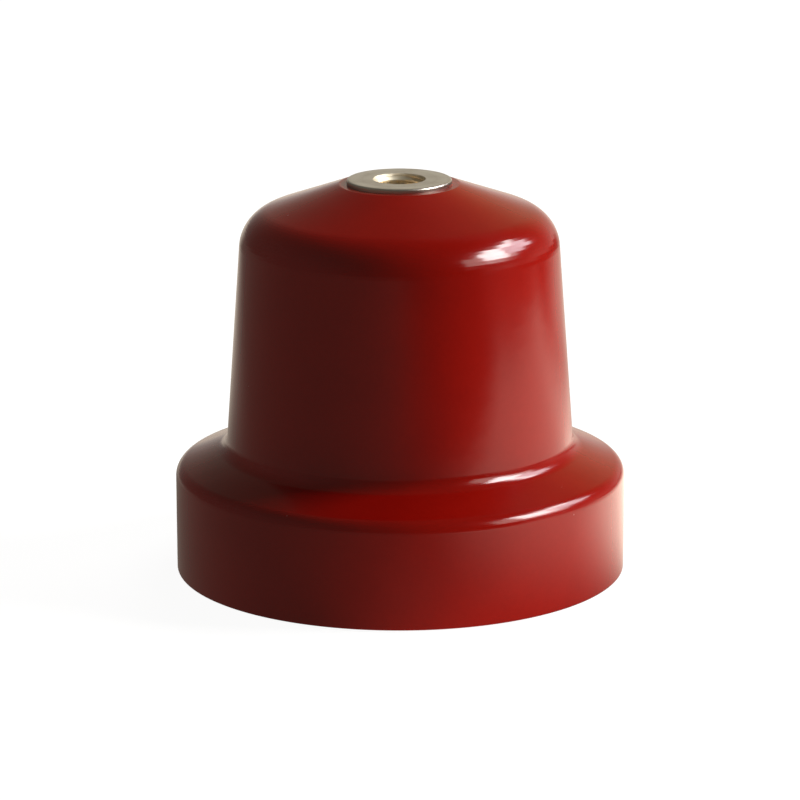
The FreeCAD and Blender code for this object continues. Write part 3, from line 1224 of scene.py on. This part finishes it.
@dataclass
class BellCasting:
    """The resin bell, in millimetres: a lathe shape with a pocket for each cast-in insert.

    root is where the bell meets the flange, land is the flat round the crown's insert, and
    mouth and roof are the hollow's two ends. step is the longest edge of the skin.
    """

    top: InsertShape
    base: InsertShape
    overall: float
    flange_radius: float
    pitch_radius: float
    base_count: int
    columns: int = 384
    flange_height: float = 25.2
    flange_round: float = 3.5
    seat_round: float = 0.4
    root_radius: float = 41.7
    root_height: float = 30.2
    root_round: float = 4.0
    shoulder_radius: float = 37.7
    shoulder_height: float = 85.5
    shoulder_round: float = 10.0
    land_radius: float = 14.4
    land_height: float = 93.9
    land_round: float = 1.0
    mouth_radius: float = 29.0
    mouth_round: float = 1.0
    roof_radius: float = 27.0
    roof_height: float = 56.0
    roof_round: float = 12.0
    step: float = 2.5
    unevenness: float = 0.05
    grain: float = 45.0
    cutter_reach: float = 1.0
    cutter_columns: int = 96

    def outline(self) -> Outline:
        """Draws the bell from the hollow's roof, round the outside, down the crown's pocket.

        Returns:
            The outline.
        """
        skin = Surface.SKIN
        outside = [
            Corner(0.0, self.roof_height),
            Corner(self.roof_radius, self.roof_height, self.roof_round, 4.0),
            Corner(self.mouth_radius, 0.0, self.mouth_round, 6.0),
            Corner(self.flange_radius, 0.0, self.seat_round, 6.0),
            Corner(self.flange_radius, self.flange_height, self.flange_round, self.step, skin),
            Corner(self.root_radius, self.root_height, self.root_round, self.step, skin),
            Corner(self.shoulder_radius, self.shoulder_height, self.shoulder_round, self.step, skin),
            Corner(self.land_radius, self.land_height, self.land_round, self.step, skin),
        ]
        lip = Corner(self.top.head / 2, self.land_height, 0.0, self.step, skin)
        pocket = [
            Corner(corner.radius, self.overall - corner.height)
            for corner in self.top.outside()
            if corner.height > 0.0
        ]
        return Outline([*outside, lip, *pocket])

    def build(self, lathe: Lathe, finishes: Finishes) -> bpy.types.Object:
        """Turns the bell, cuts the pockets in its seating face and lets it stand for its CAD node.

        Args:
            lathe: the turning tree.
            finishes: the object's materials.

        Returns:
            The finished piece.
        """
        sizes = {
            "Columns": self.columns,
            "Unevenness": self.unevenness * MM,
            "Grain": self.grain,
            "Finish": finishes.resin,
            "Thread Finish": finishes.resin,
        }
        piece = lathe.turn("bell_casting", self.outline(), sizes)
        reach = self.cutter_reach
        cutter = Outline([Corner(0.0, -reach), *self.base.outside(reach)], COARSE_ARC)
        tool = lathe.turn("pocket_tool", cutter, {"Columns": self.cutter_columns})
        bake(
            piece,
            build_pocket_tree(),
            {
                "Tool": tool,
                "Count": self.base_count,
                "Pitch Radius": self.pitch_radius * MM,
                "First Angle": math.pi / self.base_count,
                "Finish": finishes.resin,
            },
        )
        bpy.data.objects.remove(tool)
        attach(piece, "root")
        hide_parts("bell_body")
        return piece


@dataclass
class Insulator:
    """The whole insulator."""

    lathe: Lathe
    finishes: Finishes
    top_columns: int = 160
    base_columns: int = 112
    top: InsertShape = InsertShape(
        head=25.0,
        head_length=5.0,
        neck=20.0,
        neck_width=3.5,
        barrel=24.0,
        barrel_length=8.0,
        length=28.0,
        end_round=3.0,
        flutes=20,
        flute_radius=0.9,
        face_round=0.45,
        thread=Thread(major=12.0, pitch=1.75, length=16.0, drill_depth=18.0, mouth=12.6),
    )
    base: InsertShape = InsertShape(
        head=14.0,
        head_length=3.5,
        neck=11.0,
        neck_width=2.5,
        barrel=13.4,
        barrel_length=5.5,
        length=18.0,
        end_round=0.8,
        flutes=14,
        flute_radius=0.6,
        face_round=0.15,
        spigot=8.0,
        spigot_length=3.0,
        thread=Thread(major=8.0, pitch=1.25, length=12.0, drill_depth=13.5, mouth=8.6),
    )

    def build(self, frame: dict) -> None:
        """Builds every piece and dresses the CAD node that stays.
        """
        mounts = {mount["name"]: mount["dims"] for mount in frame["record"]["mounts"]}
        bolts = mounts["base_bolts"]
        bell = BellCasting(
            self.top,
            self.base,
            overall=round(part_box("top_insert")[1].z / MM, 3),
            flange_radius=round(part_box("bell_body")[1].x / MM, 3),
            pitch_radius=bolts["pcd_mm"] / 2,
            base_count=bolts["count"],
        )
        report(bell.build(self.lathe, self.finishes))
        upside_down = Matrix.Rotation(math.pi, 4, "X")
        place = Matrix.Translation((0.0, 0.0, bell.overall * MM)) @ upside_down
        insert = TappedInsert("top_insert", self.top, place, self.top_columns)
        report(insert.build(self.lathe, self.finishes))
        for number in range(1, bell.base_count + 1):
            turn = Matrix.Rotation((number - 0.5) * math.tau / bell.base_count, 4, "Z")
            place = turn @ Matrix.Translation((bell.pitch_radius * MM, 0.0, 0.0))
            insert = TappedInsert(f"base_insert_{number}", self.base, place, self.base_columns)
            report(insert.build(self.lathe, self.finishes))
        ring = frame["nodes"]["carrier_ring"]
        ring.data.materials.clear()
        ring.data.materials.append(self.finishes.steel)
        report(ring)


def report(piece: bpy.types.Object) -> None:
    """Logs a piece's name and how many faces it has."""
    LOG.info("%s: %d faces", piece.name, len(piece.data.polygons))


# ---------------------------------------------------------------------------------------------
# Studio
# ---------------------------------------------------------------------------------------------


def bearing(azimuth: float, elevation: float) -> Vector:
    """Gives the direction at an azimuth and an elevation.

    Args:
        azimuth: in degrees, where 0 is -Y and 90 is +X.
        elevation: in degrees above the level.

    Returns:
        A vector one unit long.
    """
    a, e = math.radians(azimuth), math.radians(elevation)
    return Vector((math.sin(a) * math.cos(e), -math.cos(a) * math.cos(e), math.sin(e)))


def make_sheet(
    name: str,
    finish: str,
    corners: list[Vector],
) -> tuple[bpy.types.Object, NodeWriter]:
    """Makes a four-cornered sheet with a new material.

    Args:
        name: the sheet's name.
        finish: its material's name.
        corners: its corners, in order.

    Returns:
        The sheet, and a writer for its material.
    """
    mesh = bpy.data.meshes.new(name)
    mesh.from_pydata(corners, [], [(0, 1, 2, 3)])
    material = bpy.data.materials.new(finish)
    material.use_nodes = True
    mesh.materials.append(material)
    sheet = bpy.data.objects.new(name, mesh)
    bpy.context.scene.collection.objects.link(sheet)
    return sheet, NodeWriter(material.node_tree)


class Seen(Enum):
    """Which of the object's rays find a piece of light."""

    ALWAYS = "always"
    MIRRORED = "mirrored"
    LIGHTING = "lighting"


@dataclass(frozen=True)
class Pane:
    """A bright sheet that the object sees between two azimuths and two elevations, in degrees."""

    name: str
    left: float
    right: float
    low: float
    high: float
    radiance: float
    seen: Seen
    colour: Colour
    distance: float = 1.4

    def build(self, aim: Vector) -> None:
        """Builds the pane as a glowing sheet that the camera doesn't see.

        Args:
            aim: the middle of the object.
        """
        corners = [
            aim + bearing(azimuth, elevation) * self.distance
            for azimuth, elevation in (
                (self.left, self.low),
                (self.right, self.low),
                (self.right, self.high),
                (self.left, self.high),
            )
        ]
        pane, write = make_sheet(self.name, self.name, corners)
        glow = write.add("ShaderNodeEmission", {"Color": rgba(self.colour), "Strength": self.radiance})
        write.feed(write.tree.nodes["Material Output"].inputs["Surface"], glow.outputs[0])
        pane.visible_camera = False
        pane.visible_shadow = False
        pane.visible_glossy = self.seen is not Seen.LIGHTING
        pane.visible_diffuse = self.seen is not Seen.MIRRORED
        pane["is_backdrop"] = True


@dataclass(frozen=True)
class Glow:
    """A soft patch of light on the room's walls, which falls to 1/e at width degrees off."""

    azimuth: float
    elevation: float
    radiance: float
    width: float
    colour: Colour


@dataclass(frozen=True)
class Patch:
    """A soft-edged rectangle of painted light on the floor: centre, half sizes and edge in metres."""

    centre: tuple[float, float]
    half: tuple[float, float]
    edge: float
    radiance: float
    seen: Seen = Seen.ALWAYS

    def light(
        self,
        writer: NodeWriter,
        place: bpy.types.NodeSocket,
        mirrored: bpy.types.NodeSocket,
    ) -> bpy.types.NodeSocket:
        """Writes the nodes that give the patch's light.

        Args:
            writer: the floor's writer.
            place: a place on the floor.
            mirrored: 1 for a ray that comes from a mirroring surface.

        Returns:
            The light there.
        """
        split = writer.add("ShaderNodeSeparateXYZ", {0: place}).outputs
        light: Feed = self.radiance
        if self.seen is Seen.LIGHTING:
            light = writer.math("MULTIPLY", light, writer.math("SUBTRACT", 1.0, mirrored))
        for axis in range(2):
            off = writer.math("ABSOLUTE", writer.math("SUBTRACT", split[axis], self.centre[axis]))
            inner, outer = self.half[axis] - self.edge, self.half[axis] + self.edge
            within = writer.spread(off, inner, outer, 1.0, 0.0, smooth=True)
            light = writer.math("MULTIPLY", light, within)
        return light


@dataclass(frozen=True)
class View:
    """The camera's stand: degrees, metres, and millimetres for the lens and the sensor."""

    elevation: float = 14.44
    distance: float = 1.0
    target: tuple[float, float, float] = (0.00002, 0.0, 0.04076)
    roll: float = -0.15
    lens: float = 187.6
    sensor: float = 36.0
    nearest: float = 0.05
    farthest: float = 50.0

    def build(self, height: float) -> None:
        """Puts the camera in front of the insulator, a little above it.

        Args:
            height: the height on the object's axis that the elevation is measured from.
        """
        lens = bpy.data.cameras.new("camera")
        lens.lens = self.lens
        lens.sensor_width = self.sensor
        lens.clip_start = self.nearest
        lens.clip_end = self.farthest
        camera = bpy.data.objects.new("camera", lens)
        bpy.context.scene.collection.objects.link(camera)
        middle = Vector((0.0, 0.0, height))
        camera.location = middle + bearing(0.0, self.elevation) * self.distance
        camera.rotation_mode = "QUATERNION"
        level = (Vector(self.target) - camera.location).to_track_quat("-Z", "Y")
        roll = Matrix.Rotation(math.radians(self.roll), 4, "Z").to_quaternion()
        camera.rotation_quaternion = level @ roll
        bpy.context.scene.camera = camera


@dataclass
class Studio:
    """A pale floor under soft window light, in a dimmer room.

    room is the world's plain light, and behind the extra painted light of the floor beyond the object.
    paper, floor_glow and floor_grey are how pale the room and the floor are to the camera.
    """

    aim: Vector
    panes: tuple[Pane, ...] = (
        Pane("window_pane_near", 67.0, 91.0, 24.0, 43.5, 22.0, Seen.MIRRORED, (0.98, 1.0, 1.0)),
        Pane("window_pane_top", 91.0, 117.0, 37.5, 43.5, 18.0, Seen.MIRRORED, (0.98, 0.99, 1.0)),
        Pane("window_pane_far", 93.0, 121.0, 24.0, 37.0, 8.5, Seen.MIRRORED, (0.95, 0.93, 1.0)),
        Pane("window_curtain", 50.0, 65.0, 18.0, 38.0, 3.2, Seen.MIRRORED, (1.0, 0.95, 0.86)),
        Pane("window_sill", 66.0, 97.0, 18.0, 23.5, 4.5, Seen.MIRRORED, (1.0, 0.98, 0.94)),
        Pane("window_light", 79.0, 104.0, 21.0, 39.0, 30.0, Seen.LIGHTING, (1.0, 0.99, 0.97)),
        Pane("low_fill", 60.0, 98.0, -5.0, 9.0, 7.0, Seen.LIGHTING, (1.0, 0.97, 0.92)),
        Pane("high_fill", 122.0, 172.0, 38.0, 62.0, 4.4, Seen.LIGHTING, (1.0, 0.99, 0.97)),
        Pane("left_fill", -130.0, -98.0, 0.0, 30.0, 1.0, Seen.LIGHTING, (1.0, 0.92, 0.84)),
    )
    glows: tuple[Glow, ...] = (
        Glow(-75.0, 10.0, 0.115, 62.0, (1.0, 0.94, 0.86)),
        Glow(180.0, -4.0, 0.65, 11.5, (1.0, 0.99, 0.96)),
        Glow(180.0, -2.0, 0.24, 28.0, (1.0, 0.99, 0.95)),
        Glow(80.0, -2.0, 0.3, 13.0, (1.0, 0.93, 0.8)),
        Glow(115.0, -2.0, 0.38, 16.0, (1.0, 0.93, 0.8)),
        Glow(150.0, -2.0, 0.4, 16.0, (1.0, 0.95, 0.88)),
        Glow(165.0, 20.0, 0.24, 20.0, (1.0, 0.7, 0.22)),
    )
    patches: tuple[Patch, ...] = (
        Patch((0.27, -0.015), (0.195, 0.175), 0.055, 1.25),
        Patch((0.085, 0.05), (0.04, 0.055), 0.03, 1.1),
        Patch((0.06, -0.075), (0.065, 0.035), 0.02, 1.3, Seen.LIGHTING),
        Patch((0.10, 0.29), (0.26, 0.13), 0.12, 0.7),
    )
    room: Colour = (0.05, 0.047, 0.033)
    behind: float = 0.75
    paper: float = 0.985
    bounce: Colour = (1.0, 0.89, 0.74)
    floor_glow: float = 0.94
    floor_grey: float = 0.16
    floor_reach: float = 6.0
    floor_drop: float = 0.0002
    view: View = View()

    def build(self) -> None:
        """Builds the light, the floor and the camera."""
        self._build_room()
        for pane in self.panes:
            pane.build(self.aim)
        self._build_floor()
        self.view.build(self.aim.z)
        bpy.context.scene.view_settings.view_transform = "Standard"

    def _build_room(self) -> None:
        """Makes the world: pale to the camera, and a dim room with soft glows to everything else."""
        world = bpy.data.worlds.new("studio_room")
        world.use_nodes = True
        bpy.context.scene.world = world
        w = NodeWriter(world.node_tree)
        heading = w.add("ShaderNodeTexCoord").outputs["Generated"]
        light: Feed = rgba(self.room)
        for glow in self.glows:
            middle = tuple(bearing(glow.azimuth, glow.elevation))
            toward = w.vector("DOT_PRODUCT", heading, middle).outputs["Value"]
            tightness = 1.0 / (1.0 - math.cos(math.radians(glow.width)))
            fall = w.math("EXPONENT", w.math("MULTIPLY", w.math("SUBTRACT", toward, 1.0), tightness))
            colour = tuple(glow.radiance * part for part in glow.colour)
            light = w.blend(fall, light, w.blend(1.0, light, rgba(colour), "ADD"))
        seen = w.add("ShaderNodeLightPath").outputs["Is Camera Ray"]
        shade = w.blend(seen, light, rgba((self.paper,) * 3))
        background = world.node_tree.nodes["Background"]
        w.feed(background.inputs["Color"], shade)

    def _build_floor(self) -> None:
        """Lays a wide paper floor that is pale to the camera; to the object's rays it glows with
        painted pools of window light on the window's side.
        """
        signs = ((-1, -1), (1, -1), (1, 1), (-1, 1))
        corners = [Vector((x, y, 0)) * self.floor_reach for x, y in signs]
        floor, w = make_sheet("paper_floor", "floor_paper", corners)
        floor.location.z = -self.floor_drop
        place = w.add("ShaderNodeTexCoord").outputs["Object"]
        rays = w.add("ShaderNodeLightPath").outputs
        across = w.add("ShaderNodeSeparateXYZ", {0: place}).outputs[0]
        # Painted light: the floor's glow to the object's rays stands in for window light falling on it.
        glow: Feed = w.spread(across, -0.1, 0.3, 0.19, 0.08, smooth=True)
        for patch in self.patches:
            glow = w.math("ADD", glow, patch.light(w, place, rays["Is Glossy Ray"]))
        heading = w.vector("NORMALIZE", place).outputs[0]
        toward = w.vector("DOT_PRODUCT", heading, tuple(bearing(180.0, 0.0))).outputs["Value"]
        away = w.spread(w.vector("LENGTH", place).outputs["Value"], 0.35, 0.6, 0.0, self.behind)
        beyond = w.spread(toward, 0.86, 0.985, smooth=True)
        glow = w.math("ADD", glow, w.math("MULTIPLY", beyond, away))
        bounce = w.add("ShaderNodeEmission", {"Color": rgba(self.bounce), "Strength": glow}).outputs[0]
        white = {"Color": rgba((1.0,) * 3), "Strength": self.floor_glow}
        flat = w.add("ShaderNodeEmission", white).outputs[0]
        matt = w.add("ShaderNodeBsdfDiffuse", {"Color": rgba((self.floor_grey,) * 3)}).outputs[0]
        pale = w.add("ShaderNodeAddShader", {0: flat, 1: matt}).outputs[0]
        chosen = w.add("ShaderNodeMixShader", {0: rays["Is Camera Ray"], 1: bounce, 2: pale}).outputs[0]
        w.feed(w.tree.nodes["Material Output"].inputs["Surface"], chosen)
        floor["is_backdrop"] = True


def main() -> None:
    """Loads the frame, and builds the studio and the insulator."""
    logging.basicConfig(level=logging.INFO, format="%(name)s: %(message)s")
    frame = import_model()
    cad_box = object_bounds()
    low, high = cad_box
    Studio(aim=(low + high) / 2).build()
    Insulator(Lathe(), Finishes.build()).build(frame)


if __name__ == "__main__":
    main()
